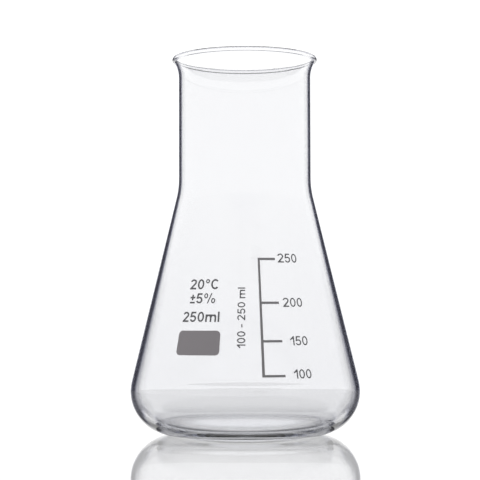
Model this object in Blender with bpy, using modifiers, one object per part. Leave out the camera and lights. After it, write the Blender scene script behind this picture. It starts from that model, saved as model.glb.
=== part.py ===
"""Wide-neck Erlenmeyer flask of 250 ml: one blown glass body and its fired enamel marks.

Frame: metres, +Z up, origin at the centre of the foot. The marks are on the -Y side.
"""
import math

import bmesh
import bpy

MM = 0.001

# Outside of the glass
HEIGHT = 140.0 * MM
BODY_RADIUS = 42.5 * MM
NECK_RADIUS = 24.7 * MM
RIM_RADIUS = 27.1 * MM
CONE_HALF_ANGLE = math.radians(13.7)
HEEL_RADIUS = 16.2 * MM
SHOULDER_RADIUS = 31.0 * MM
FLARE_RADIUS = 12.0 * MM
LIP_EDGE_RADIUS = 0.8 * MM
LIP_UNDERCUT = 0.75 * MM
FOOT_RING_WIDTH = 2.6 * MM
PUSH_UP = 1.2 * MM

# Wall
NECK_WALL = 0.8 * MM
CONE_FOOT_WALL = 2.0 * MM
HEEL_WALL = 3.0 * MM
FLOOR_CROWN = 0.9 * MM

TURN_STEPS = 64

# Marks: distances along the cone, angles around it from -Y towards +X
ENAMEL = 0.2 * MM
ENAMEL_GAP = 0.3 * MM
WRAP_PITCH = 1.5 * MM
BRACKET_ANGLE = math.radians(8.8)
BRACKET_END_ANGLE = math.radians(19.6)
BRACKET_LINE = 0.85 * MM
NUMERAL_HEIGHT = 3.3 * MM
# For each graduation: height of its bar, rise of its numerals above the bar, their right end
GRADUATIONS = {
    "250": (63.7 * MM, 0.38 * MM, math.radians(35.5)),
    "200": (48.25 * MM, 0.17 * MM, math.radians(34.7)),
    "150": (34.9 * MM, 0.1 * MM, math.radians(34.5)),
    "100": (22.95 * MM, 0.63 * MM, math.radians(33.9)),
}
LABEL_ANGLE = math.radians(-25.5)
LABEL_HEIGHT = 3.7 * MM
TEMPERATURE_Z = 54.85 * MM
TOLERANCE_Z = 49.9 * MM
CAPACITY_Z = 43.4 * MM
PATCH_HALF_ANGLE = math.radians(12.3)
PATCH_LOW_Z = 30.05 * MM
PATCH_HIGH_Z = 38.6 * MM
PATCH_CORNER = 1.5 * MM
RANGE_ANGLE = math.radians(0.1)
RANGE_LOW_Z = 32.6 * MM
RANGE_HEIGHT = 2.8 * MM

# Lettering, as shares of the height of its figures
FIGURE_WIDTH = 0.68
ONE_WIDTH = 0.46
LETTER_C_WIDTH = 0.82
LETTER_M_WIDTH = 1.08
LETTER_HEIGHT = 0.73
DASH_WIDTH = 0.4
DEGREE_WIDTH = 0.42
PERCENT_WIDTH = 1.15
SMALL_RING_WIDTH = 0.4
SMALL_RING_HEIGHT = 0.52
FINE_STROKE = 0.7
FLAG_SHARE = 0.2
NUMERAL_STROKE = 0.14
LABEL_STROKE = 0.165
RANGE_STROKE = 0.15
LETTER_SPACE = 0.15
WORD_SPACE = 0.35
GLYPH_STEPS = 12

# Where the outside arcs and the cone meet
HEEL_CENTRE = (BODY_RADIUS - HEEL_RADIUS, HEEL_RADIUS)
CONE_FOOT = (
    HEEL_CENTRE[0] + HEEL_RADIUS * math.cos(CONE_HALF_ANGLE),
    HEEL_CENTRE[1] + HEEL_RADIUS * math.sin(CONE_HALF_ANGLE),
)
SHOULDER_CENTRE = (
    NECK_RADIUS + SHOULDER_RADIUS,
    CONE_FOOT[1]
    + (SHOULDER_RADIUS - (NECK_RADIUS + SHOULDER_RADIUS - CONE_FOOT[0]) * math.cos(CONE_HALF_ANGLE))
    / math.sin(CONE_HALF_ANGLE),
)
LIP_CENTRE = (RIM_RADIUS - LIP_EDGE_RADIUS, HEIGHT - LIP_EDGE_RADIUS)
FLARE_ANGLE = math.acos((NECK_RADIUS + FLARE_RADIUS - LIP_CENTRE[0]) / FLARE_RADIUS)
FLARE_CENTRE = (
    NECK_RADIUS + FLARE_RADIUS,
    LIP_CENTRE[1] - LIP_UNDERCUT - FLARE_RADIUS * math.sin(FLARE_ANGLE),
)


def clear_scene():
    for obj in list(bpy.data.objects):
        bpy.data.objects.remove(obj)


def new_collection(name):
    collection = bpy.data.collections.new(name)
    bpy.context.scene.collection.children.link(collection)
    return collection


def new_material(name, colour, roughness, alpha=1.0, transmission=0.0):
    material = bpy.data.materials.new(name)
    material.use_nodes = True
    shader = material.node_tree.nodes["Principled BSDF"]
    shader.inputs["Base Color"].default_value = (*colour, 1.0)
    shader.inputs["Roughness"].default_value = roughness
    shader.inputs["Metallic"].default_value = 0.0
    shader.inputs["Alpha"].default_value = alpha
    shader.inputs["Transmission Weight"].default_value = transmission
    shader.inputs["IOR"].default_value = 1.47
    return material


def arc(centre, radius, start, end, steps):
    """Points (radius, height) along an arc, with both of its ends."""
    points = []
    for step in range(steps + 1):
        angle = start + (end - start) * step / steps
        points.append((centre[0] + radius * math.cos(angle), centre[1] + radius * math.sin(angle)))
    return points


def inner_profile():
    """The hollow's outline, from the middle of the floor up to the inner edge of the lip."""
    heel_radius = HEEL_RADIUS - HEEL_WALL
    points = []
    floor_steps = 6
    for step in range(floor_steps):
        share = step / floor_steps
        crown = FLOOR_CROWN * (1.0 - share**2)
        points.append((HEEL_CENTRE[0] * share, HEEL_WALL + crown))
    cone_foot_shift = HEEL_WALL - CONE_FOOT_WALL
    heel_centre = (HEEL_CENTRE[0] + cone_foot_shift, HEEL_CENTRE[1])
    points += arc(heel_centre, heel_radius, -math.pi / 2, CONE_HALF_ANGLE, 9)
    points += arc(
        SHOULDER_CENTRE, SHOULDER_RADIUS + NECK_WALL, math.pi + CONE_HALF_ANGLE, math.pi, 5
    )
    lip_rise = LIP_CENTRE[1] - FLARE_CENTRE[1]
    flare_end = math.asin(lip_rise / (FLARE_RADIUS + NECK_WALL))
    points += arc(FLARE_CENTRE, FLARE_RADIUS + NECK_WALL, math.pi, math.pi - flare_end, 5)
    return points


def lip_profile(inner_edge):
    """Over the top of the lip, from just past its inner edge to its underside."""
    inner_centre = (inner_edge[0] + LIP_EDGE_RADIUS, LIP_CENTRE[1])
    points = arc(inner_centre, LIP_EDGE_RADIUS, math.pi, math.pi / 2, 4)[1:]
    points += arc(LIP_CENTRE, LIP_EDGE_RADIUS, math.pi / 2, math.radians(-80), 7)
    return points


def outer_profile():
    """Down the outside, from under the lip to the middle of the bottom."""
    points = arc(FLARE_CENTRE, FLARE_RADIUS, math.pi - FLARE_ANGLE, math.pi, 5)
    points += arc(SHOULDER_CENTRE, SHOULDER_RADIUS, math.pi, math.pi + CONE_HALF_ANGLE, 5)
    points += arc(HEEL_CENTRE, HEEL_RADIUS, CONE_HALF_ANGLE, 0.0, 1)
    points += arc(HEEL_CENTRE, HEEL_RADIUS, 0.0, -math.pi / 2, 9)[1:]
    ring_radius = HEEL_CENTRE[0] - FOOT_RING_WIDTH
    bottom_steps = 4
    for step in range(bottom_steps + 1):
        share = 1.0 - step / bottom_steps
        points.append((ring_radius * share, PUSH_UP * (1.0 - share**2)))
    return points


def turn(name, profile, collection, material):
    """A closed solid of revolution around Z, from a profile on the +X side."""
    mesh = bpy.data.meshes.new(name)
    edges = [(index, index + 1) for index in range(len(profile) - 1)]
    mesh.from_pydata([(radius, 0.0, height) for radius, height in profile], edges, [])
    obj = bpy.data.objects.new(name, mesh)
    collection.objects.link(obj)
    mesh.materials.append(material)
    screw = obj.modifiers.new("turn", "SCREW")
    screw.axis = "Z"
    screw.angle = 2.0 * math.pi
    screw.steps = TURN_STEPS
    screw.render_steps = TURN_STEPS
    screw.use_merge_vertices = True
    screw.merge_threshold = 0.00001
    screw.use_smooth_shade = True
    return obj


def cone_radius(height):
    return CONE_FOOT[0] - (height - CONE_FOOT[1]) * math.tan(CONE_HALF_ANGLE)


def wrap_on_cone(mesh, angle, height, reference_radius):
    """Lay a flat mesh on the cone: X runs around it, Y up its slope and Z outwards."""
    for vertex in mesh.vertices:
        x, y, z = vertex.co
        around = angle + x / reference_radius
        offset = ENAMEL_GAP + z
        surface_height = height + y * math.cos(CONE_HALF_ANGLE)
        radius = cone_radius(surface_height) + offset * math.cos(CONE_HALF_ANGLE)
        vertex.co = (
            radius * math.sin(around),
            -radius * math.cos(around),
            surface_height + offset * math.sin(CONE_HALF_ANGLE),
        )


def cut_into_strips(mesh):
    """Add edges across a flat mesh so that it can bend around the cone."""
    build = bmesh.new()
    build.from_mesh(mesh)
    bmesh.ops.remove_doubles(build, verts=build.verts, dist=0.000001)
    low = min(vertex.co.x for vertex in build.verts)
    high = max(vertex.co.x for vertex in build.verts)
    strips = math.ceil((high - low) / WRAP_PITCH)
    for strip in range(1, strips):
        x = low + (high - low) * strip / strips
        everything = build.verts[:] + build.edges[:] + build.faces[:]
        bmesh.ops.bisect_plane(build, geom=everything, plane_co=(x, 0, 0), plane_no=(1, 0, 0))
    bmesh.ops.triangulate(build, faces=build.faces[:])
    build.to_mesh(mesh)
    build.free()


def mesh_of(curve_data):
    """The closed mesh of a flat curve or text, with its back on Z = 0."""
    guide = bpy.data.objects.new("guide", curve_data)
    bpy.context.scene.collection.objects.link(guide)
    graph = bpy.context.evaluated_depsgraph_get()
    mesh = bpy.data.meshes.new_from_object(guide.evaluated_get(graph))
    bpy.data.objects.remove(guide)
    for vertex in mesh.vertices:
        vertex.co.z += ENAMEL / 2
    cut_into_strips(mesh)
    return mesh


def islands_of(mesh):
    """Split a mesh into one mesh for each of its connected bodies, from left to right."""
    build = bmesh.new()
    build.from_mesh(mesh)
    left = set(build.verts)
    groups = []
    while left:
        group = set()
        reach = [left.pop()]
        while reach:
            vertex = reach.pop()
            group.add(vertex.index)
            for edge in vertex.link_edges:
                other = edge.other_vert(vertex)
                if other in left:
                    left.discard(other)
                    reach.append(other)
        groups.append(group)
    build.free()
    groups.sort(key=lambda group: min((mesh.vertices[i].co.x, mesh.vertices[i].co.y) for i in group))
    pieces = []
    for group in groups:
        piece = bmesh.new()
        piece.from_mesh(mesh)
        spare = [vertex for vertex in piece.verts if vertex.index not in group]
        bmesh.ops.delete(piece, geom=spare, context="VERTS")
        part = bpy.data.meshes.new("island")
        piece.to_mesh(part)
        piece.free()
        pieces.append(part)
    return pieces


def add_mark(name, mesh, collection, material):
    mesh.name = name
    mesh.materials.clear()
    mesh.materials.append(material)
    mesh.shade_flat()
    obj = bpy.data.objects.new(name, mesh)
    collection.objects.link(obj)
    return obj


def flat_outline(outlines, scale=1.0):
    """A flat filled curve through straight-edged outlines, as thick as the enamel."""
    curve = bpy.data.curves.new("outline", "CURVE")
    curve.dimensions = "2D"
    curve.fill_mode = "BOTH"
    curve.extrude = ENAMEL / 2
    for outline in outlines:
        spline = curve.splines.new("POLY")
        spline.points.add(len(outline) - 1)
        for point, (x, y) in zip(spline.points, outline):
            point.co = (x * scale, y * scale, 0.0, 1.0)
        spline.use_cyclic_u = True
    return curve


def ellipse_arc(centre, width, height, start, end, steps):
    """Points along part of an ellipse, from angle start to angle end in degrees."""
    points = []
    for step in range(steps + 1):
        angle = math.radians(start + (end - start) * step / steps)
        points.append((
            centre[0] + width / 2 * math.cos(angle),
            centre[1] + height / 2 * math.sin(angle),
        ))
    return points


def band(centre, width, height, stroke, start, end, steps):
    """An open stroke that follows part of an ellipse, as one outline."""
    outside = ellipse_arc(centre, width, height, start, end, steps)
    inside = ellipse_arc(centre, width - 2 * stroke, height - 2 * stroke, end, start, steps)
    return outside, inside


def ring(centre, width, height, stroke):
    """The two outlines of a closed ring."""
    outside = ellipse_arc(centre, width, height, 0.0, 360.0, GLYPH_STEPS)[1:]
    inside = ellipse_arc(centre, width - 2 * stroke, height - 2 * stroke, 0.0, 360.0, GLYPH_STEPS)
    return [outside, inside[1:]]


def box(left, low, right, high):
    return [(left, low), (right, low), (right, high), (left, high)]


def figure_zero(stroke):
    return ring((FIGURE_WIDTH / 2, 0.5), FIGURE_WIDTH, 1.0, stroke)


def figure_one(stroke):
    """A stem with a slanted flag."""
    left = ONE_WIDTH - stroke
    flag_drop = 0.3
    notch = 0.14
    return [[
        (left, 0.0), (ONE_WIDTH, 0.0), (ONE_WIDTH, 1.0), (left + FLAG_SHARE * stroke, 1.0),
        (0.0, 1.0 - flag_drop), (0.0, 1.0 - flag_drop - stroke), (left, 1.0 - notch - stroke),
    ]]


def figure_two(stroke):
    """A bowl at the top, a slope down to the left, and a foot."""
    bowl = 0.6
    start, end = 168.0, -42.0
    slope_foot = 0.42 * FIGURE_WIDTH
    heel = 0.7 * stroke
    centre = (FIGURE_WIDTH / 2, 1.0 - bowl / 2)
    outside, inside = band(centre, FIGURE_WIDTH, bowl, stroke, start, end, GLYPH_STEPS)
    foot = [(slope_foot, stroke), (FIGURE_WIDTH, stroke), (FIGURE_WIDTH, 0.0), (0.0, 0.0)]
    return [outside + foot + [(0.0, heel)] + inside]


def figure_five(stroke):
    """A bar, a stem down to the left, and a bowl that starts at the stem's foot."""
    bowl = 0.66
    start, outside_end, inside_end = -162.0, 118.0, 132.0
    left = 0.16 * FIGURE_WIDTH
    right = 0.92 * FIGURE_WIDTH
    stem_foot = (0.03 * FIGURE_WIDTH, 0.7 * bowl)
    centre = (FIGURE_WIDTH / 2, bowl / 2)
    outside = ellipse_arc(centre, FIGURE_WIDTH, bowl, start, outside_end, GLYPH_STEPS)
    hollow = band(centre, FIGURE_WIDTH, bowl, stroke, start, inside_end, GLYPH_STEPS)[1]
    stem = [(left + stroke, 1.0 - stroke), (right, 1.0 - stroke), (right, 1.0), (left, 1.0)]
    return [outside + stem + [stem_foot] + hollow]


def letter_c(stroke):
    start, end = 42.0, 318.0
    centre = (LETTER_C_WIDTH / 2, 0.5)
    outside, inside = band(centre, LETTER_C_WIDTH, 1.0, stroke, start, end, GLYPH_STEPS)
    return [outside + inside]


def letter_m(stroke):
    """Three legs under a bar with a rounded shoulder, with two round-topped slots."""
    slot = (LETTER_M_WIDTH - 3 * stroke) / 2
    shoulder = 0.5 * LETTER_HEIGHT
    corner = (LETTER_M_WIDTH - shoulder / 2, LETTER_HEIGHT - shoulder / 2)
    outline = [(0.0, 0.0), (0.0, LETTER_HEIGHT)]
    outline += ellipse_arc(corner, shoulder, shoulder, 90.0, 0.0, GLYPH_STEPS // 3)
    outline.append((LETTER_M_WIDTH, 0.0))
    for left in (2 * stroke + slot, stroke):
        top = (left + slot / 2, LETTER_HEIGHT - stroke - slot / 2)
        outline.append((left + slot, 0.0))
        outline += ellipse_arc(top, slot, slot, 0.0, 180.0, GLYPH_STEPS // 2)
        outline.append((left, 0.0))
    return [outline]


def letter_l(stroke):
    return [box(0.0, 0.0, stroke, 1.0)]


def dash(stroke):
    return [box(0.0, 0.5 - stroke, DASH_WIDTH, 0.5)]


def degree(stroke):
    return ring((DEGREE_WIDTH / 2, 1.0 - DEGREE_WIDTH / 2), DEGREE_WIDTH, DEGREE_WIDTH, FINE_STROKE * stroke)


def plus_minus(stroke):
    """An upright cross over a bar."""
    width = 0.8 * FIGURE_WIDTH
    level = 0.58
    middle = width / 2
    half = stroke / 2
    low = level - middle
    high = level + middle
    cross = [
        (0.0, level - half), (middle - half, level - half), (middle - half, low),
        (middle + half, low), (middle + half, level - half), (width, level - half),
        (width, level + half), (middle + half, level + half), (middle + half, high),
        (middle - half, high), (middle - half, level + half), (0.0, level + half),
    ]
    return [cross, box(0.0, 0.0, width, stroke)]


def percent(stroke):
    """A slash between two small rings."""
    thin = FINE_STROKE * stroke
    left = (SMALL_RING_WIDTH / 2, 1.0 - SMALL_RING_HEIGHT / 2)
    right = (PERCENT_WIDTH - left[0], SMALL_RING_HEIGHT / 2)
    rings = []
    for centre in (left, right):
        rings += ring(centre, SMALL_RING_WIDTH, SMALL_RING_HEIGHT, thin)
    lean = 0.5
    foot = (PERCENT_WIDTH - lean) / 2
    head = (PERCENT_WIDTH + lean) / 2 - thin
    return rings + [[(foot, 0.0), (foot + thin, 0.0), (head + thin, 1.0), (head, 1.0)]]


GLYPHS = {
    "0": figure_zero,
    "1": figure_one,
    "2": figure_two,
    "5": figure_five,
    "C": letter_c,
    "m": letter_m,
    "l": letter_l,
    "-": dash,
    "°": degree,
    "±": plus_minus,
    "%": percent,
}


def glyph_row(characters, height, stroke):
    """Meshes of a row of characters and the row's length; a space leaves a gap."""
    row = []
    cursor = 0.0
    for character in characters:
        if character == " ":
            cursor += WORD_SPACE * height
            continue
        mesh = mesh_of(flat_outline(GLYPHS[character](stroke), height))
        low = min(vertex.co.x for vertex in mesh.vertices)
        high = max(vertex.co.x for vertex in mesh.vertices)
        for vertex in mesh.vertices:
            vertex.co.x += cursor - low
        cursor += high - low + LETTER_SPACE * height
        row.append((character, mesh))
    return row, cursor - LETTER_SPACE * height


# The islands of enamel in each character that isn't a figure, from left to right
ISLAND_NAMES = {
    "m": ["letter_m"],
    "l": ["letter_l"],
    "C": ["letter_C"],
    "-": ["dash"],
    "°": ["degree_ring"],
    "±": ["minus_bar", "plus_sign"],
    "%": ["percent_ring_left", "percent_slash", "percent_ring_right"],
}


def island_names(prefix, place, character):
    names = ISLAND_NAMES.get(character, [f"digit_{place}"])
    return [f"{prefix}_{name}" for name in names]


def add_row(prefix, characters, height, stroke, angle, middle_z, align, collection, material):
    """A row of characters around the cone, one object for each island of enamel."""
    row, length = glyph_row(characters, height, stroke)
    shift = {"middle": -length / 2, "right": -length}[align]
    reference = cone_radius(middle_z)
    for place, (character, mesh) in enumerate(row, start=1):
        for vertex in mesh.vertices:
            vertex.co.x += shift
            vertex.co.y -= height / 2
        wrap_on_cone(mesh, angle, middle_z, reference)
        for name, island in zip(island_names(prefix, place, character), islands_of(mesh)):
            add_mark(name, island, collection, material)


def add_upright_row(prefix, characters, height, stroke, angle, low_z, collection, material):
    """A row of characters that reads upwards, its feet towards +X."""
    row, length = glyph_row(characters, height, stroke)
    reference = cone_radius(low_z + length / 2)
    for place, (character, mesh) in enumerate(row, start=1):
        for vertex in mesh.vertices:
            x, y, z = vertex.co
            vertex.co = (-y, x, z)
        wrap_on_cone(mesh, angle, low_z, reference)
        add_mark(island_names(prefix, place, character)[0], mesh, collection, material)


def add_bracket(collection, material):
    """The scale: an upright line with a bar at each graduation, as one printed outline."""
    heights = sorted(height for height, rise, angle in GRADUATIONS.values())
    middle = (heights[0] + heights[-1]) / 2
    reference = cone_radius(middle)
    half = BRACKET_LINE / 2
    slope = math.cos(CONE_HALF_ANGLE)
    bar = (BRACKET_END_ANGLE - BRACKET_ANGLE) * reference
    outline = [(-half, (heights[0] - middle) / slope - half)]
    for index, height in enumerate(heights):
        y = (height - middle) / slope
        if index > 0:
            outline.append((half, y - half))
        outline.append((bar, y - half))
        outline.append((bar, y + half))
        if index < len(heights) - 1:
            outline.append((half, y + half))
    outline.append((-half, (heights[-1] - middle) / slope + half))
    mesh = mesh_of(flat_outline([outline]))
    wrap_on_cone(mesh, BRACKET_ANGLE, middle, reference)
    add_mark("scale_bracket", mesh, collection, material)


def add_patch(collection, material):
    """The writing patch: a rounded rectangle whose ends follow the slope of the cone."""
    middle = (PATCH_LOW_Z + PATCH_HIGH_Z) / 2
    reference = cone_radius(middle)
    half_width = PATCH_HALF_ANGLE * reference
    half_height = (PATCH_HIGH_Z - PATCH_LOW_Z) / 2 / math.cos(CONE_HALF_ANGLE)
    outline = []
    for quarter, (side, end) in enumerate([(1, 1), (-1, 1), (-1, -1), (1, -1)]):
        centre = (side * (half_width - PATCH_CORNER), end * (half_height - PATCH_CORNER))
        start = quarter * math.pi / 2
        outline += arc(centre, PATCH_CORNER, start, start + math.pi / 2, 5)
    mesh = mesh_of(flat_outline([outline]))
    wrap_on_cone(mesh, LABEL_ANGLE, middle, reference)
    add_mark("writing_patch", mesh, collection, material)


def build_glass(collection):
    glass = new_material("clear_glass", (0.93, 0.95, 0.96), 0.02, alpha=0.35, transmission=1.0)
    inner = inner_profile()
    profile = inner + lip_profile(inner[-1]) + outer_profile()
    turn("glass_flask", profile, collection, glass)


def build_marks(collection):
    enamel = new_material("grey_enamel", (0.13, 0.13, 0.135), 0.45)
    patch = new_material("patch_enamel", (0.2, 0.185, 0.185), 0.6)
    add_bracket(collection, enamel)
    add_patch(collection, patch)
    for figures, (bar_z, rise, right_angle) in GRADUATIONS.items():
        add_row(
            f"graduation_{figures}", figures, NUMERAL_HEIGHT, NUMERAL_STROKE, right_angle,
            bar_z + rise, "right", collection, enamel,
        )
    label_rows = (
        ("capacity", "250ml", CAPACITY_Z),
        ("temperature", "20°C", TEMPERATURE_Z),
        ("tolerance", "±5%", TOLERANCE_Z),
    )
    for prefix, characters, middle_z in label_rows:
        add_row(
            prefix, characters, LABEL_HEIGHT, LABEL_STROKE, LABEL_ANGLE, middle_z, "middle",
            collection, enamel,
        )
    add_upright_row(
        "range", "100 - 250 ml", RANGE_HEIGHT, RANGE_STROKE, RANGE_ANGLE, RANGE_LOW_Z,
        collection, enamel,
    )


def main():
    clear_scene()
    collection = new_collection("erlenmeyer_flask")
    build_glass(collection)
    build_marks(collection)


main()
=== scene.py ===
"""Looks of the 250 ml wide-neck Erlenmeyer flask: blown glass, fired enamel marks, white studio."""
import math

import bmesh
import bpy
from mathutils import Matrix, Vector


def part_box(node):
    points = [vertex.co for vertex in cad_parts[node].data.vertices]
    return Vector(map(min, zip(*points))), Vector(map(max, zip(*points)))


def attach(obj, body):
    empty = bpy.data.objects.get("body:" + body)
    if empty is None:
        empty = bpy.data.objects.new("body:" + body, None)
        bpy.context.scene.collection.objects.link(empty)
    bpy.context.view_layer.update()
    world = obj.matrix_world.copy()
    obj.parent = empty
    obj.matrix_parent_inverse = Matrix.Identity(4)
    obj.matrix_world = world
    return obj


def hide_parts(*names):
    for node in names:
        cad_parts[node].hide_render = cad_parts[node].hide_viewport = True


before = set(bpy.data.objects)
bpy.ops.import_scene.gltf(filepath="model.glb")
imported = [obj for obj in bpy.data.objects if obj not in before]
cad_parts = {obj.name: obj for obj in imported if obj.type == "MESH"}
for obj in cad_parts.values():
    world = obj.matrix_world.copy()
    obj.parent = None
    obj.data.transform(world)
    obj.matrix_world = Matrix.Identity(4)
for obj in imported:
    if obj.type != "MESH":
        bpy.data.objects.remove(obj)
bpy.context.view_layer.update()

MM = 0.001
GLASS_LOW, GLASS_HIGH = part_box("glass_flask")

# Outside of the glass: the same turned shape as the CAD node
HEIGHT = GLASS_HIGH.z
BODY_RADIUS = GLASS_HIGH.x
NECK_RADIUS = 24.7 * MM
RIM_RADIUS = 27.1 * MM
CONE_HALF_ANGLE = math.radians(13.7)
HEEL_RADIUS = 16.2 * MM
SHOULDER_RADIUS = 31.0 * MM
FLARE_RADIUS = 12.0 * MM
LIP_EDGE_RADIUS = 0.8 * MM
LIP_UNDERCUT = 0.75 * MM
FOOT_RING_WIDTH = 2.6 * MM
PUSH_UP = 1.2 * MM

# Wall, from the neck down to the floor
NECK_WALL = 0.7 * MM
CONE_FOOT_WALL = 2.0 * MM
HEEL_WALL = 3.0 * MM
FLOOR_CROWN = 0.9 * MM

# Fineness of the turned shape
TURN_SEGMENTS = 192
FLARE_STEPS = 14
NECK_STEPS = 12
SHOULDER_STEPS = 12
CONE_STEPS = 20
HEEL_TOP_STEPS = 3
HEEL_STEPS = 24
BOTTOM_STEPS = 12
HOLLOW_FLOOR_STEPS = 14
HOLLOW_HEEL_STEPS = 26
LIP_INNER_STEPS = 8
LIP_OUTER_STEPS = 14
LIP_END_ANGLE = math.radians(-80.0)
AXIS_RADIUS = 1e-9

HEEL_CENTRE = Vector((BODY_RADIUS - HEEL_RADIUS, HEEL_RADIUS))
CONE_FOOT = HEEL_CENTRE + HEEL_RADIUS * Vector((math.cos(CONE_HALF_ANGLE), math.sin(CONE_HALF_ANGLE)))
SHOULDER_CENTRE = Vector((
    NECK_RADIUS + SHOULDER_RADIUS,
    CONE_FOOT.y
    + (SHOULDER_RADIUS - (NECK_RADIUS + SHOULDER_RADIUS - CONE_FOOT.x) * math.cos(CONE_HALF_ANGLE))
    / math.sin(CONE_HALF_ANGLE),
))
LIP_CENTRE = Vector((RIM_RADIUS - LIP_EDGE_RADIUS, HEIGHT - LIP_EDGE_RADIUS))
FLARE_ANGLE = math.acos((NECK_RADIUS + FLARE_RADIUS - LIP_CENTRE.x) / FLARE_RADIUS)
FLARE_CENTRE = Vector((
    NECK_RADIUS + FLARE_RADIUS,
    LIP_CENTRE.y - LIP_UNDERCUT - FLARE_RADIUS * math.sin(FLARE_ANGLE),
))

# Marks
ENAMEL = 0.06 * MM
ENAMEL_GAP = 0.02 * MM
WRAP_PITCH = 0.6 * MM
MERGE_DISTANCE = 1e-7
SHARP_ANGLE = math.radians(40.0)
BRACKET_ANGLE = math.radians(8.8)
BRACKET_END_ANGLE = math.radians(19.6)
BRACKET_LINE = 0.85 * MM
NUMERAL_HEIGHT = 3.3 * MM
# For each graduation: height of its bar, rise of its numerals above the bar, their right end
GRADUATIONS = {
    "250": (63.7 * MM, 0.38 * MM, math.radians(35.5)),
    "200": (48.25 * MM, 0.17 * MM, math.radians(34.7)),
    "150": (34.9 * MM, 0.1 * MM, math.radians(34.5)),
    "100": (22.95 * MM, 0.63 * MM, math.radians(33.9)),
}
LABEL_ANGLE = math.radians(-25.5)
LABEL_HEIGHT = 3.7 * MM
TEMPERATURE_Z = 54.85 * MM
TOLERANCE_Z = 49.9 * MM
CAPACITY_Z = 43.4 * MM
PATCH_HALF_ANGLE = math.radians(12.3)
PATCH_LOW_Z = 30.05 * MM
PATCH_HIGH_Z = 38.6 * MM
PATCH_CORNER = 1.5 * MM
PATCH_CORNER_STEPS = 8
RANGE_ANGLE = math.radians(0.1)
RANGE_LOW_Z = 32.6 * MM
RANGE_HEIGHT = 2.8 * MM

# Lettering, as shares of the height of its figures
FIGURE_WIDTH = 0.68
ONE_WIDTH = 0.46
LETTER_C_WIDTH = 0.82
LETTER_M_WIDTH = 1.08
LETTER_HEIGHT = 0.73
DASH_WIDTH = 0.4
DEGREE_WIDTH = 0.42
PERCENT_WIDTH = 1.15
SMALL_RING_WIDTH = 0.4
SMALL_RING_HEIGHT = 0.52
FINE_STROKE = 0.7
FLAG_SHARE = 0.2
NUMERAL_STROKE = 0.14
LABEL_STROKE = 0.165
RANGE_STROKE = 0.15
LETTER_SPACE = 0.15
WORD_SPACE = 0.35
GLYPH_STEPS = 24

# Camera and studio
CAMERA_DISTANCE = 557.7 * MM
CAMERA_HEIGHT = 43.6 * MM
CAMERA_PITCH = math.radians(2.91)
CAMERA_YAW = math.radians(0.19)
CAMERA_ROLL = math.radians(-0.127)
CAMERA_LENS = 112.44
CAMERA_SENSOR = 36.0
CAMERA_NEAR = 10.0 * MM
CAMERA_FAR = 20000.0 * MM
GLASS_BOUNCES = 32
GLOSSY_BOUNCES = 16
FLOOR_RADIUS = 425.0 * MM
FLOOR_SEGMENTS = 128

# Sockets of a Mix node that mixes colours
MIX_COLOUR_A = 6
MIX_COLOUR_B = 7
MIX_COLOUR_OUT = 2
WHITE = (1.0, 1.0, 1.0)

# Glass: a slight tint of its own, and painted shade that darkens it where the glass is seen edge on, over
# a wider band lower down
GLASS_IOR = 1.472
CLEAR_TINT = (0.875, 0.877, 0.884)
EDGE_PAINTED_SHADE = (0.055, 0.057, 0.08)
EDGE_START_LOW = 0.66
EDGE_START_HIGH = 0.7
EDGE_LOW_Z = 10.0 * MM
EDGE_HIGH_Z = 95.0 * MM
EDGE_RISE = 0.12
UPRIGHT_NORMAL = (0.92, 0.68)
GLASS_ABSORPTION = (0.25, 0.267, 0.36)
GLASS_DENSITY = 29.0

ENAMEL_COLOUR = (0.12, 0.12, 0.125)
BRACKET_COLOUR = (0.21, 0.205, 0.21)
ENAMEL_ROUGHNESS = 0.45
PATCH_COLOUR = (0.29, 0.27, 0.28)
PATCH_ROUGHNESS = 0.6

# Surroundings: white, with a dark panel behind on either side, a dark roof and a dim lower half.
# Angles run from +Y, and heights are shares of a unit direction.
BACKDROP_STRENGTH = 1.25
PANEL_STRENGTH = 0.08
PANEL_COLOUR = (0.95, 0.97, 1.25)
PANEL_START = (15.0, 19.0)
PANEL_END = (42.0, 33.0)
PANEL_LOW = (-0.12, -0.08)
PANEL_HIGH = (0.4, 0.3)
ROOF = (0.5, 0.56)
LOWER_HALF = (-0.15, -0.3)
LOWER_SHADE = 0.5

# Floor: a glossy sheet, white by its own glow, with a painted bright pool under the foot and painted
# shadow around it where the glass looks at it low
FLOOR_GLOW = 0.9
FLOOR_IOR = 1.49
FLOOR_ROUGHNESS = 0.02
FLOOR_MIRROR = 0.75
FLOOR_STEEP = (0.35, 0.18)
PAINTED_SHADE_REACH = 200.0 * MM
# Painted light and shadow, as (distance from the axis, glow strength): a bright pool under the foot, then
# shade that is darkest near the foot
PAINTED_FLOOR_LIGHT_AND_SHADOW = (
    (0.0, 2.0), (16.0 * MM, 2.0), (24.0 * MM, 0.35), (55.0 * MM, 0.35), (110.0 * MM, 0.45),
    (190.0 * MM, 0.45),
)


def arc(centre, radius, start, end, steps):
    """Points (radius, height) along an arc, with both of its ends."""
    angles = [start + (end - start) * step / steps for step in range(steps + 1)]
    return [centre + radius * Vector((math.cos(a), math.sin(a))) for a in angles]


def line(start, end, steps):
    """Points between two points, without the ends."""
    return [start.lerp(end, step / steps) for step in range(1, steps)]


# ---------------------------------------------------------------- glass

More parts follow.
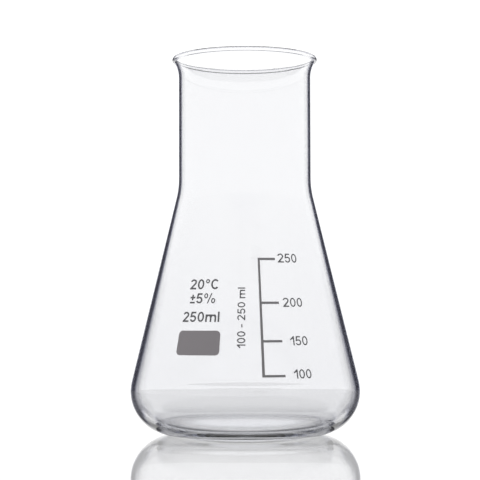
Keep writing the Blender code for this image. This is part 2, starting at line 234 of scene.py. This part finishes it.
def outer_profile():
    """Down the outside, from under the lip to the middle of the bottom."""
    points = arc(FLARE_CENTRE, FLARE_RADIUS, math.pi - FLARE_ANGLE, math.pi, FLARE_STEPS)
    shoulder = arc(
        SHOULDER_CENTRE, SHOULDER_RADIUS, math.pi, math.pi + CONE_HALF_ANGLE, SHOULDER_STEPS
    )
    points += line(points[-1], shoulder[0], NECK_STEPS) + shoulder
    heel = arc(HEEL_CENTRE, HEEL_RADIUS, CONE_HALF_ANGLE, 0.0, HEEL_TOP_STEPS)
    heel += arc(HEEL_CENTRE, HEEL_RADIUS, 0.0, -math.pi / 2, HEEL_STEPS)[1:]
    points += line(points[-1], heel[0], CONE_STEPS) + heel
    ring_radius = HEEL_CENTRE.x - FOOT_RING_WIDTH
    for step in range(BOTTOM_STEPS + 1):
        share = 1.0 - step / BOTTOM_STEPS
        points.append(Vector((ring_radius * share, PUSH_UP * (1.0 - share**2))))
    return points


def inner_profile():
    """Up the hollow, from the middle of the floor to the inner edge of the lip."""
    points = []
    for step in range(HOLLOW_FLOOR_STEPS):
        share = step / HOLLOW_FLOOR_STEPS
        points.append(Vector((HEEL_CENTRE.x * share, HEEL_WALL + FLOOR_CROWN * (1.0 - share**2))))
    centre = HEEL_CENTRE + Vector((HEEL_WALL - CONE_FOOT_WALL, 0.0))
    heel = arc(centre, HEEL_RADIUS - HEEL_WALL, -math.pi / 2, CONE_HALF_ANGLE, HOLLOW_HEEL_STEPS)
    shoulder = arc(
        SHOULDER_CENTRE, SHOULDER_RADIUS + NECK_WALL, math.pi + CONE_HALF_ANGLE, math.pi,
        SHOULDER_STEPS,
    )
    rise = LIP_CENTRE.y - FLARE_CENTRE.y
    end = math.asin(rise / (FLARE_RADIUS + NECK_WALL))
    flare = arc(FLARE_CENTRE, FLARE_RADIUS + NECK_WALL, math.pi, math.pi - end, FLARE_STEPS)
    points += heel + line(heel[-1], shoulder[0], CONE_STEPS) + shoulder
    points += line(shoulder[-1], flare[0], NECK_STEPS) + flare
    return points


def lip_profile(inner_edge):
    """Over the top of the lip, from just past its inner edge to its underside."""
    inner_centre = Vector((inner_edge.x + LIP_EDGE_RADIUS, LIP_CENTRE.y))
    points = arc(inner_centre, LIP_EDGE_RADIUS, math.pi, math.pi / 2, LIP_INNER_STEPS)[1:]
    return points + arc(LIP_CENTRE, LIP_EDGE_RADIUS, math.pi / 2, LIP_END_ANGLE, LIP_OUTER_STEPS)


def lathe(name, profile, segments):
    """A closed solid of revolution whose first and last profile points lie on the axis."""
    build = bmesh.new()
    rings = []
    for radius, height in profile:
        if radius < AXIS_RADIUS:
            rings.append([build.verts.new((0.0, 0.0, height))])
            continue
        turn = [2.0 * math.pi * i / segments for i in range(segments)]
        rings.append([build.verts.new((radius * math.cos(t), radius * math.sin(t), height)) for t in turn])
    for lower, upper in zip(rings, rings[1:]):
        for i in range(segments):
            j = (i + 1) % segments
            if len(lower) == 1:
                build.faces.new((lower[0], upper[j], upper[i]))
            elif len(upper) == 1:
                build.faces.new((lower[i], lower[j], upper[0]))
            else:
                build.faces.new((lower[i], lower[j], upper[j], upper[i]))
    if build.calc_volume(signed=True) < 0:
        bmesh.ops.reverse_faces(build, faces=build.faces[:])
    mesh = bpy.data.meshes.new(name)
    build.to_mesh(mesh)
    build.free()
    mesh.shade_smooth()
    return mesh


def add_piece(name, mesh, material, slot, *nodes):
    """Put a mesh in the scene as a piece that stands for CAD nodes."""
    mesh.materials.clear()
    mesh.materials.append(material)
    piece = bpy.data.objects.new(name, mesh)
    bpy.context.scene.collection.objects.link(piece)
    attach(piece, "root")
    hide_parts(*nodes)
    return piece


def build_glass(material):
    inner = inner_profile()
    profile = inner + lip_profile(inner[-1]) + outer_profile()
    mesh = lathe("blown_glass", profile, TURN_SEGMENTS)
    add_piece("blown_glass", mesh, material, "clear_glass", "glass_flask")


# ---------------------------------------------------------------- marks

def cone_radius(height):
    return CONE_FOOT.x - (height - CONE_FOOT.y) * math.tan(CONE_HALF_ANGLE)


def wrap_on_cone(mesh, angle, height, reference_radius):
    """Lay a flat mesh on the cone: X runs around it, Y up its slope and Z outwards."""
    for vertex in mesh.vertices:
        x, y, z = vertex.co
        around = angle + x / reference_radius
        offset = ENAMEL_GAP + z
        surface_height = height + y * math.cos(CONE_HALF_ANGLE)
        radius = cone_radius(surface_height) + offset * math.cos(CONE_HALF_ANGLE)
        vertex.co = (
            radius * math.sin(around),
            -radius * math.cos(around),
            surface_height + offset * math.sin(CONE_HALF_ANGLE),
        )


def mesh_of(curve_data):
    """The closed mesh of a flat curve, cut into strips so that it can bend."""
    guide = bpy.data.objects.new("guide", curve_data)
    bpy.context.scene.collection.objects.link(guide)
    graph = bpy.context.evaluated_depsgraph_get()
    mesh = bpy.data.meshes.new_from_object(guide.evaluated_get(graph))
    bpy.data.objects.remove(guide)
    build = bmesh.new()
    build.from_mesh(mesh)
    bmesh.ops.remove_doubles(build, verts=build.verts, dist=MERGE_DISTANCE)
    bmesh.ops.translate(build, verts=build.verts, vec=(0.0, 0.0, ENAMEL / 2))
    low = min(vertex.co.x for vertex in build.verts)
    high = max(vertex.co.x for vertex in build.verts)
    strips = math.ceil((high - low) / WRAP_PITCH)
    for strip in range(1, strips):
        x = low + (high - low) * strip / strips
        everything = build.verts[:] + build.edges[:] + build.faces[:]
        bmesh.ops.bisect_plane(build, geom=everything, plane_co=(x, 0, 0), plane_no=(1, 0, 0))
    bmesh.ops.triangulate(build, faces=build.faces[:])
    build.to_mesh(mesh)
    build.free()
    return mesh


def islands_of(mesh):
    """Split a mesh into one mesh for each of its connected bodies, from left to right."""
    build = bmesh.new()
    build.from_mesh(mesh)
    left = set(build.verts)
    groups = []
    while left:
        group = set()
        reach = [left.pop()]
        while reach:
            vertex = reach.pop()
            group.add(vertex.index)
            for edge in vertex.link_edges:
                other = edge.other_vert(vertex)
                if other in left:
                    left.discard(other)
                    reach.append(other)
        groups.append(group)
    build.free()
    groups.sort(key=lambda group: min((mesh.vertices[i].co.x, mesh.vertices[i].co.y) for i in group))
    pieces = []
    for group in groups:
        piece = bmesh.new()
        piece.from_mesh(mesh)
        spare = [vertex for vertex in piece.verts if vertex.index not in group]
        bmesh.ops.delete(piece, geom=spare, context="VERTS")
        part = bpy.data.meshes.new("island")
        piece.to_mesh(part)
        piece.free()
        pieces.append(part)
    return pieces


def add_mark(node, mesh, material, slot):
    """One island of enamel, which stands for the CAD node of the same name."""
    mesh.shade_smooth()
    mesh.set_sharp_from_angle(angle=SHARP_ANGLE)
    add_piece(f"{node}_print", mesh, material, slot, node)


def flat_outline(outlines, scale=1.0):
    """A flat filled curve through straight-edged outlines, as thick as the enamel."""
    curve = bpy.data.curves.new("outline", "CURVE")
    curve.dimensions = "2D"
    curve.fill_mode = "BOTH"
    curve.extrude = ENAMEL / 2
    for outline in outlines:
        spline = curve.splines.new("POLY")
        spline.points.add(len(outline) - 1)
        for point, (x, y) in zip(spline.points, outline):
            point.co = (x * scale, y * scale, 0.0, 1.0)
        spline.use_cyclic_u = True
    return curve


def ellipse_arc(centre, width, height, start, end, steps):
    """Points along part of an ellipse, from angle start to angle end in degrees."""
    points = []
    for step in range(steps + 1):
        angle = math.radians(start + (end - start) * step / steps)
        points.append((
            centre[0] + width / 2 * math.cos(angle),
            centre[1] + height / 2 * math.sin(angle),
        ))
    return points


def band(centre, width, height, stroke, start, end, steps):
    """The outer and inner edges of an open stroke that follows part of an ellipse."""
    outside = ellipse_arc(centre, width, height, start, end, steps)
    inside = ellipse_arc(centre, width - 2 * stroke, height - 2 * stroke, end, start, steps)
    return outside, inside


def ring(centre, width, height, stroke):
    """The two outlines of a closed ring."""
    outside = ellipse_arc(centre, width, height, 0.0, 360.0, GLYPH_STEPS)[1:]
    inside = ellipse_arc(centre, width - 2 * stroke, height - 2 * stroke, 0.0, 360.0, GLYPH_STEPS)
    return [outside, inside[1:]]


def box(left, low, right, high):
    return [(left, low), (right, low), (right, high), (left, high)]


def figure_zero(stroke):
    return ring((FIGURE_WIDTH / 2, 0.5), FIGURE_WIDTH, 1.0, stroke)


def figure_one(stroke):
    """A stem with a slanted flag."""
    left = ONE_WIDTH - stroke
    flag_drop = 0.3
    notch = 0.14
    return [[
        (left, 0.0), (ONE_WIDTH, 0.0), (ONE_WIDTH, 1.0), (left + FLAG_SHARE * stroke, 1.0),
        (0.0, 1.0 - flag_drop), (0.0, 1.0 - flag_drop - stroke), (left, 1.0 - notch - stroke),
    ]]


def figure_two(stroke):
    """A bowl at the top, a slope down to the left, and a foot."""
    bowl = 0.6
    start, end = 168.0, -42.0
    slope_foot = 0.42 * FIGURE_WIDTH
    heel = 0.7 * stroke
    centre = (FIGURE_WIDTH / 2, 1.0 - bowl / 2)
    outside, inside = band(centre, FIGURE_WIDTH, bowl, stroke, start, end, GLYPH_STEPS)
    foot = [(slope_foot, stroke), (FIGURE_WIDTH, stroke), (FIGURE_WIDTH, 0.0), (0.0, 0.0)]
    return [outside + foot + [(0.0, heel)] + inside]


def figure_five(stroke):
    """A bar, a stem down to the left, and a bowl that starts at the stem's foot."""
    bowl = 0.66
    start, outside_end, inside_end = -162.0, 118.0, 132.0
    left = 0.16 * FIGURE_WIDTH
    right = 0.92 * FIGURE_WIDTH
    stem_foot = (0.03 * FIGURE_WIDTH, 0.7 * bowl)
    centre = (FIGURE_WIDTH / 2, bowl / 2)
    outside = ellipse_arc(centre, FIGURE_WIDTH, bowl, start, outside_end, GLYPH_STEPS)
    hollow = band(centre, FIGURE_WIDTH, bowl, stroke, start, inside_end, GLYPH_STEPS)[1]
    stem = [(left + stroke, 1.0 - stroke), (right, 1.0 - stroke), (right, 1.0), (left, 1.0)]
    return [outside + stem + [stem_foot] + hollow]


def letter_c(stroke):
    start, end = 42.0, 318.0
    centre = (LETTER_C_WIDTH / 2, 0.5)
    outside, inside = band(centre, LETTER_C_WIDTH, 1.0, stroke, start, end, GLYPH_STEPS)
    return [outside + inside]


def letter_m(stroke):
    """Three legs under a bar with a rounded shoulder, with two round-topped slots."""
    slot = (LETTER_M_WIDTH - 3 * stroke) / 2
    shoulder = 0.5 * LETTER_HEIGHT
    corner = (LETTER_M_WIDTH - shoulder / 2, LETTER_HEIGHT - shoulder / 2)
    outline = [(0.0, 0.0), (0.0, LETTER_HEIGHT)]
    outline += ellipse_arc(corner, shoulder, shoulder, 90.0, 0.0, GLYPH_STEPS // 3)
    outline.append((LETTER_M_WIDTH, 0.0))
    for left in (2 * stroke + slot, stroke):
        top = (left + slot / 2, LETTER_HEIGHT - stroke - slot / 2)
        outline.append((left + slot, 0.0))
        outline += ellipse_arc(top, slot, slot, 0.0, 180.0, GLYPH_STEPS // 2)
        outline.append((left, 0.0))
    return [outline]


def letter_l(stroke):
    return [box(0.0, 0.0, stroke, 1.0)]


def dash(stroke):
    return [box(0.0, 0.5 - stroke, DASH_WIDTH, 0.5)]


def degree(stroke):
    centre = (DEGREE_WIDTH / 2, 1.0 - DEGREE_WIDTH / 2)
    return ring(centre, DEGREE_WIDTH, DEGREE_WIDTH, FINE_STROKE * stroke)


def plus_minus(stroke):
    """An upright cross over a bar."""
    width = 0.8 * FIGURE_WIDTH
    level = 0.58
    middle = width / 2
    half = stroke / 2
    low = level - middle
    high = level + middle
    cross = [
        (0.0, level - half), (middle - half, level - half), (middle - half, low),
        (middle + half, low), (middle + half, level - half), (width, level - half),
        (width, level + half), (middle + half, level + half), (middle + half, high),
        (middle - half, high), (middle - half, level + half), (0.0, level + half),
    ]
    return [cross, box(0.0, 0.0, width, stroke)]


def percent(stroke):
    """A slash between two small rings."""
    thin = FINE_STROKE * stroke
    left = (SMALL_RING_WIDTH / 2, 1.0 - SMALL_RING_HEIGHT / 2)
    right = (PERCENT_WIDTH - left[0], SMALL_RING_HEIGHT / 2)
    rings = []
    for centre in (left, right):
        rings += ring(centre, SMALL_RING_WIDTH, SMALL_RING_HEIGHT, thin)
    lean = 0.5
    foot = (PERCENT_WIDTH - lean) / 2
    head = (PERCENT_WIDTH + lean) / 2 - thin
    return rings + [[(foot, 0.0), (foot + thin, 0.0), (head + thin, 1.0), (head, 1.0)]]


GLYPHS = {
    "0": figure_zero,
    "1": figure_one,
    "2": figure_two,
    "5": figure_five,
    "C": letter_c,
    "m": letter_m,
    "l": letter_l,
    "-": dash,
    "°": degree,
    "±": plus_minus,
    "%": percent,
}


def glyph_row(characters, height, stroke):
    """Meshes of a row of characters and the row's length; a space leaves a gap."""
    row = []
    cursor = 0.0
    for character in characters:
        if character == " ":
            cursor += WORD_SPACE * height
            continue
        mesh = mesh_of(flat_outline(GLYPHS[character](stroke), height))
        low = min(vertex.co.x for vertex in mesh.vertices)
        high = max(vertex.co.x for vertex in mesh.vertices)
        for vertex in mesh.vertices:
            vertex.co.x += cursor - low
        cursor += high - low + LETTER_SPACE * height
        row.append((character, mesh))
    return row, cursor - LETTER_SPACE * height


# The islands of enamel in each character that isn't a figure, from left to right
ISLAND_NAMES = {
    "m": ["letter_m"],
    "l": ["letter_l"],
    "C": ["letter_C"],
    "-": ["dash"],
    "°": ["degree_ring"],
    "±": ["minus_bar", "plus_sign"],
    "%": ["percent_ring_left", "percent_slash", "percent_ring_right"],
}


def island_names(prefix, place, character):
    names = ISLAND_NAMES.get(character, [f"digit_{place}"])
    return [f"{prefix}_{name}" for name in names]


def add_row(prefix, characters, height, stroke, angle, middle_z, align, material):
    """A row of characters around the cone, one piece for each island of enamel."""
    row, length = glyph_row(characters, height, stroke)
    shift = {"middle": -length / 2, "right": -length}[align]
    reference = cone_radius(middle_z)
    for place, (character, mesh) in enumerate(row, start=1):
        for vertex in mesh.vertices:
            vertex.co.x += shift
            vertex.co.y -= height / 2
        wrap_on_cone(mesh, angle, middle_z, reference)
        for name, island in zip(island_names(prefix, place, character), islands_of(mesh)):
            add_mark(name, island, material, "grey_enamel")


def add_upright_row(prefix, characters, height, stroke, angle, low_z, material):
    """A row of characters that reads upwards, its feet towards +X."""
    row, length = glyph_row(characters, height, stroke)
    reference = cone_radius(low_z + length / 2)
    for place, (character, mesh) in enumerate(row, start=1):
        for vertex in mesh.vertices:
            x, y, z = vertex.co
            vertex.co = (-y, x, z)
        wrap_on_cone(mesh, angle, low_z, reference)
        add_mark(island_names(prefix, place, character)[0], mesh, material, "grey_enamel")


def add_bracket(material):
    """The scale: an upright line with a bar at each graduation, as one printed outline."""
    heights = sorted(height for height, rise, angle in GRADUATIONS.values())
    middle = (heights[0] + heights[-1]) / 2
    reference = cone_radius(middle)
    half = BRACKET_LINE / 2
    slope = math.cos(CONE_HALF_ANGLE)
    bar = (BRACKET_END_ANGLE - BRACKET_ANGLE) * reference
    outline = [(-half, (heights[0] - middle) / slope - half)]
    for index, height in enumerate(heights):
        y = (height - middle) / slope
        if index > 0:
            outline.append((half, y - half))
        outline.append((bar, y - half))
        outline.append((bar, y + half))
        if index < len(heights) - 1:
            outline.append((half, y + half))
    outline.append((-half, (heights[-1] - middle) / slope + half))
    mesh = mesh_of(flat_outline([outline]))
    wrap_on_cone(mesh, BRACKET_ANGLE, middle, reference)
    add_mark("scale_bracket", mesh, material, "grey_enamel")


def add_patch(material):
    """The writing patch: a rounded rectangle whose ends follow the slope of the cone."""
    middle = (PATCH_LOW_Z + PATCH_HIGH_Z) / 2
    reference = cone_radius(middle)
    half_width = PATCH_HALF_ANGLE * reference
    half_height = (PATCH_HIGH_Z - PATCH_LOW_Z) / 2 / math.cos(CONE_HALF_ANGLE)
    outline = []
    for quarter, (side, end) in enumerate([(1, 1), (-1, 1), (-1, -1), (1, -1)]):
        centre = Vector((side * (half_width - PATCH_CORNER), end * (half_height - PATCH_CORNER)))
        start = quarter * math.pi / 2
        outline += arc(centre, PATCH_CORNER, start, start + math.pi / 2, PATCH_CORNER_STEPS)
    mesh = mesh_of(flat_outline([outline]))
    wrap_on_cone(mesh, LABEL_ANGLE, middle, reference)
    add_mark("writing_patch", mesh, material, "patch_enamel")


def build_marks(enamel, bracket, patch):
    add_bracket(bracket)
    add_patch(patch)
    for figures, (bar_z, rise, right_angle) in GRADUATIONS.items():
        add_row(
            f"graduation_{figures}", figures, NUMERAL_HEIGHT, NUMERAL_STROKE, right_angle,
            bar_z + rise, "right", enamel,
        )
    label_rows = (
        ("capacity", "250ml", CAPACITY_Z),
        ("temperature", "20°C", TEMPERATURE_Z),
        ("tolerance", "±5%", TOLERANCE_Z),
    )
    for prefix, characters, middle_z in label_rows:
        add_row(
            prefix, characters, LABEL_HEIGHT, LABEL_STROKE, LABEL_ANGLE, middle_z, "middle",
            enamel,
        )
    add_upright_row(
        "range", "100 - 250 ml", RANGE_HEIGHT, RANGE_STROKE, RANGE_ANGLE, RANGE_LOW_Z,
        enamel,
    )


# ---------------------------------------------------------------- materials

def new_material(name):
    """A material with its node tree, its Principled shader and its output."""
    material = bpy.data.materials.new(name)
    material.use_nodes = True
    nodes = material.node_tree.nodes
    return material, material.node_tree, nodes["Principled BSDF"], nodes["Material Output"]


def feed(tree, socket, value):
    """Link an output to a socket, or set the socket to a number."""
    if isinstance(value, bpy.types.NodeSocket):
        tree.links.new(value, socket)
    else:
        socket.default_value = value


def calculate(tree, operation, *values):
    node = tree.nodes.new("ShaderNodeMath")
    node.operation = operation
    for socket, value in zip(node.inputs, values):
        feed(tree, socket, value)
    return node.outputs["Value"]


def ramp(tree, value, start, end, low=0.0, high=1.0, smooth=True):
    """Runs from low to high while value runs from start to end."""
    node = tree.nodes.new("ShaderNodeMapRange")
    node.interpolation_type = "SMOOTHSTEP" if smooth else "LINEAR"
    feed(tree, node.inputs["Value"], value)
    feed(tree, node.inputs["From Min"], start)
    feed(tree, node.inputs["From Max"], end)
    node.inputs["To Min"].default_value = low
    node.inputs["To Max"].default_value = high
    return node.outputs["Result"]


def components(tree, vector):
    node = tree.nodes.new("ShaderNodeSeparateXYZ")
    tree.links.new(vector, node.inputs["Vector"])
    return node.outputs


def mix_colours(tree, factor, first, second):
    """A colour that runs from first to second while factor runs from 0 to 1."""
    node = tree.nodes.new("ShaderNodeMix")
    node.data_type = "RGBA"
    feed(tree, node.inputs["Factor"], factor)
    node.inputs[MIX_COLOUR_A].default_value = (*first, 1.0)
    node.inputs[MIX_COLOUR_B].default_value = (*second, 1.0)
    return node.outputs[MIX_COLOUR_OUT]


def painted_edge_shade_share(tree):
    """How much painted edge shade the glass takes: seen edge on, and not on level faces."""
    weight = tree.nodes.new("ShaderNodeLayerWeight")
    place = tree.nodes.new("ShaderNodeTexCoord")
    height = components(tree, place.outputs["Object"])["Z"]
    start = ramp(
        tree, height, EDGE_LOW_Z, EDGE_HIGH_Z, EDGE_START_LOW, EDGE_START_HIGH, smooth=False
    )
    end = calculate(tree, "ADD", start, EDGE_RISE)
    edge = ramp(tree, weight.outputs["Facing"], start, end, smooth=False)
    geometry = tree.nodes.new("ShaderNodeNewGeometry")
    level = calculate(tree, "ABSOLUTE", components(tree, geometry.outputs["Normal"])["Z"])
    return calculate(tree, "MULTIPLY", edge, ramp(tree, level, *UPRIGHT_NORMAL, smooth=False))


def glass_material():
    material, tree, shader, output = new_material("clear_glass")
    shader.inputs["Roughness"].default_value = 0.0
    shader.inputs["IOR"].default_value = GLASS_IOR
    shader.inputs["Transmission Weight"].default_value = 1.0
    # Painted shade: the glass's colour runs from its own slight tint to a dark blue-grey where it is seen
    # edge on
    tint_and_painted_edge_shade = mix_colours(tree, painted_edge_shade_share(tree), CLEAR_TINT, EDGE_PAINTED_SHADE)
    tree.links.new(tint_and_painted_edge_shade, shader.inputs["Base Color"])
    absorption = tree.nodes.new("ShaderNodeVolumeAbsorption")
    absorption.inputs["Color"].default_value = (*GLASS_ABSORPTION, 1.0)
    absorption.inputs["Density"].default_value = GLASS_DENSITY
    tree.links.new(absorption.outputs["Volume"], output.inputs["Volume"])
    return material


def print_material(name, colour, roughness):
    """Fired enamel of one colour."""
    material, _, shader, _ = new_material(name)
    shader.inputs["Base Color"].default_value = (*colour, 1.0)
    shader.inputs["Roughness"].default_value = roughness
    return material


# ---------------------------------------------------------------- studio

def floor_painted_light_and_shadow(tree):
    """Painted light and shadow on the floor seen low through the glass, by distance from the flask's axis:
    a bright pool under the foot and shade around it.
    """
    place = tree.nodes.new("ShaderNodeTexCoord")
    distance = tree.nodes.new("ShaderNodeVectorMath")
    distance.operation = "LENGTH"
    tree.links.new(place.outputs["Object"], distance.inputs[0])
    shade = tree.nodes.new("ShaderNodeValToRGB")
    shade.color_ramp.interpolation = "EASE"
    # A new stop starts halfway along, and is then put in its place
    while len(shade.color_ramp.elements) < len(PAINTED_FLOOR_LIGHT_AND_SHADOW):
        shade.color_ramp.elements.new(0.5)
    for element, (radius, value) in zip(shade.color_ramp.elements, PAINTED_FLOOR_LIGHT_AND_SHADOW):
        element.position = radius / PAINTED_SHADE_REACH
        element.color = (value, value, value, 1.0)
    reach = calculate(tree, "DIVIDE", distance.outputs["Value"], PAINTED_SHADE_REACH)
    tree.links.new(reach, shade.inputs["Fac"])
    return shade.outputs["Color"]


def choose(tree, factor, otherwise, value):
    """A number that is value where factor is 1 and otherwise where it is 0."""
    node = tree.nodes.new("ShaderNodeMix")
    feed(tree, node.inputs["Factor"], factor)
    feed(tree, node.inputs["A"], otherwise)
    feed(tree, node.inputs["B"], value)
    return node.outputs["Result"]


def floor_material():
    """White acrylic: plain and faintly glossy to the camera or from above; to the glass, a mirror over
    painted shadow and a painted bright pool around the foot.
    """
    material, tree, shader, output = new_material("white_acrylic")
    tree.nodes.remove(shader)
    seen = tree.nodes.new("ShaderNodeLightPath").outputs["Is Camera Ray"]
    weight = tree.nodes.new("ShaderNodeLayerWeight")
    steep = ramp(tree, weight.outputs["Facing"], *FLOOR_STEEP)
    plain = calculate(tree, "MAXIMUM", seen, steep)
    glow = tree.nodes.new("ShaderNodeEmission")
    # Painted light and shadow: rays other than camera rays that meet the floor low get the painted ring in
    # place of the plain glow
    strength = choose(tree, plain, floor_painted_light_and_shadow(tree), FLOOR_GLOW)
    tree.links.new(strength, glow.inputs["Strength"])
    gloss = tree.nodes.new("ShaderNodeBsdfGlossy")
    gloss.inputs["Roughness"].default_value = FLOOR_ROUGHNESS
    gloss.inputs["Color"].default_value = (*WHITE, 1.0)
    fresnel = tree.nodes.new("ShaderNodeFresnel")
    fresnel.inputs["IOR"].default_value = FLOOR_IOR
    mix = tree.nodes.new("ShaderNodeMixShader")
    tree.links.new(choose(tree, plain, FLOOR_MIRROR, fresnel.outputs["Fac"]), mix.inputs["Fac"])
    tree.links.new(glow.outputs["Emission"], mix.inputs[1])
    tree.links.new(gloss.outputs["BSDF"], mix.inputs[2])
    tree.links.new(mix.outputs["Shader"], output.inputs["Surface"])
    return material


def build_floor():
    """A glossy white sheet that the flask stands on."""
    build = bmesh.new()
    bmesh.ops.create_circle(build, cap_ends=True, radius=FLOOR_RADIUS, segments=FLOOR_SEGMENTS)
    mesh = bpy.data.meshes.new("floor")
    build.to_mesh(mesh)
    build.free()
    mesh.materials.append(floor_material())
    floor = bpy.data.objects.new("floor", mesh)
    bpy.context.scene.collection.objects.link(floor)


def darkness(tree, direction):
    """How dark the surroundings are in a direction: the panels, the roof or the lower half."""
    azimuth = calculate(tree, "ARCTAN2", direction["X"], direction["Y"])
    side = calculate(tree, "ABSOLUTE", azimuth)
    panel = ramp(tree, direction["Z"], *PANEL_LOW)
    panel = calculate(tree, "MULTIPLY", panel, ramp(tree, direction["Z"], *PANEL_HIGH))
    for start, end in (PANEL_START, PANEL_END):
        edge = ramp(tree, side, math.radians(start), math.radians(end))
        panel = calculate(tree, "MULTIPLY", panel, edge)
    roof = ramp(tree, direction["Z"], *ROOF)
    lower = ramp(tree, direction["Z"], *LOWER_HALF, high=LOWER_SHADE)
    return calculate(tree, "MAXIMUM", calculate(tree, "MAXIMUM", panel, roof), lower)


def build_world():
    """Soft white surroundings, plain to the camera, whose dark parts show only in the glass."""
    world = bpy.data.worlds.new("studio")
    bpy.context.scene.world = world
    world.use_nodes = True
    tree = world.node_tree
    background = tree.nodes["Background"]
    place = tree.nodes.new("ShaderNodeTexCoord")
    seen = tree.nodes.new("ShaderNodeLightPath").outputs["Is Camera Ray"]
    dark = darkness(tree, components(tree, place.outputs["Generated"]))
    dark = calculate(tree, "MULTIPLY", dark, calculate(tree, "SUBTRACT", 1.0, seen))
    loss = calculate(tree, "MULTIPLY", dark, BACKDROP_STRENGTH - PANEL_STRENGTH)
    strength = calculate(tree, "SUBTRACT", BACKDROP_STRENGTH, loss)
    tree.links.new(strength, background.inputs["Strength"])
    tree.links.new(mix_colours(tree, dark, WHITE, PANEL_COLOUR), background.inputs["Color"])


def build_camera():
    data = bpy.data.cameras.new("camera")
    data.sensor_width = CAMERA_SENSOR
    data.lens = CAMERA_LENS
    data.clip_start = CAMERA_NEAR
    data.clip_end = CAMERA_FAR
    camera = bpy.data.objects.new("camera", data)
    bpy.context.scene.collection.objects.link(camera)
    turn = Matrix.Rotation(CAMERA_YAW, 4, "Z")
    tilt = Matrix.Rotation(math.pi / 2 + CAMERA_PITCH, 4, "X")
    roll = Matrix.Rotation(CAMERA_ROLL, 4, "Z")
    place = Matrix.Translation((0.0, -CAMERA_DISTANCE, CAMERA_HEIGHT))
    camera.matrix_world = place @ turn @ tilt @ roll
    bpy.context.scene.camera = camera


def set_view():
    scene = bpy.context.scene
    scene.view_settings.view_transform = "Standard"
    scene.cycles.max_bounces = GLASS_BOUNCES
    scene.cycles.transmission_bounces = GLASS_BOUNCES
    scene.cycles.glossy_bounces = GLOSSY_BOUNCES


build_glass(glass_material())
build_marks(
    print_material("grey_enamel", ENAMEL_COLOUR, ENAMEL_ROUGHNESS),
    print_material("bracket_enamel", BRACKET_COLOUR, ENAMEL_ROUGHNESS),
    print_material("patch_enamel", PATCH_COLOUR, PATCH_ROUGHNESS),
)
build_floor()
build_world()
build_camera()
set_view()
